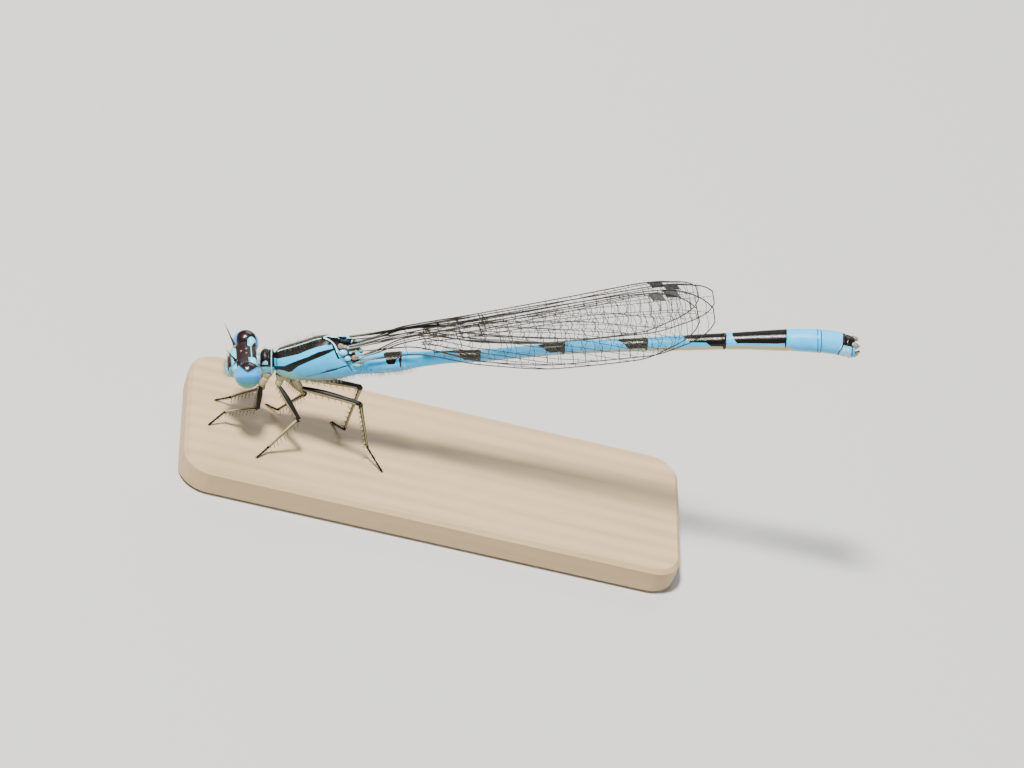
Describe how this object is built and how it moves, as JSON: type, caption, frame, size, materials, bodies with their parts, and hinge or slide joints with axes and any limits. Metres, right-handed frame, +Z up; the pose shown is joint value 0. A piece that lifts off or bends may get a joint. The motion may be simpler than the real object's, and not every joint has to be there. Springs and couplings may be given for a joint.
{
  "type": "damselfly model",
  "caption": "Life-size still model of a male bluet damselfly at rest, wings closed over its abdomen, on a small wooden base.",
  "frame": {"origin": "centre of the base's flat underside", "axes": "+X from the head to the tail, +Y to the animal's right side, +Z up, away from the base"},
  "size_m": [0.0324, 0.0094, 0.017],
  "materials": {
    "cuticle_blue": "satin cuticle, sky blue",
    "cuticle_black": "glossy black cuticle",
    "eye_surface": "glossy compound eye, blue with a dark cap",
    "wing_membrane": "clear membrane with dark veins",
    "leg_cuticle": "black and cream cuticle",
    "base_wood": "fine pale wood, oiled"
  },
  "bodies": {
    "root": {"abdomen_1": "cuticle_blue", "abdomen_10": "cuticle_blue", "abdomen_2": "cuticle_blue", "abdomen_3": "cuticle_blue", "abdomen_4": "cuticle_blue", "abdomen_5": "cuticle_blue", "abdomen_6": "cuticle_blue", "abdomen_7": "cuticle_blue", "abdomen_8": "cuticle_blue", "abdomen_9": "cuticle_blue", "antenna_left": "cuticle_black", "antenna_right": "cuticle_black", "eye_left": "eye_surface", "eye_right": "eye_surface", "femur_front_left": "leg_cuticle", "femur_front_right": "leg_cuticle", "femur_hind_left": "leg_cuticle", "femur_hind_right": "leg_cuticle", "femur_mid_left": "leg_cuticle", "femur_mid_right": "leg_cuticle", "forewing_left": "wing_membrane", "forewing_right": "wing_membrane", "head": "cuticle_black", "hindwing_left": "wing_membrane", "hindwing_right": "wing_membrane", "neck": "cuticle_blue", "prothorax": "cuticle_black", "stand_base": "base_wood", "tarsus_front_left": "leg_cuticle", "tarsus_front_right": "leg_cuticle", "tarsus_hind_left": "leg_cuticle", "tarsus_hind_right": "leg_cuticle", "tarsus_mid_left": "leg_cuticle", "tarsus_mid_right": "leg_cuticle", "thorax": "cuticle_blue", "tibia_front_left": "leg_cuticle", "tibia_front_right": "leg_cuticle", "tibia_hind_left": "leg_cuticle", "tibia_hind_right": "leg_cuticle", "tibia_mid_left": "leg_cuticle", "tibia_mid_right": "leg_cuticle"}
  },
  "joints": []
}
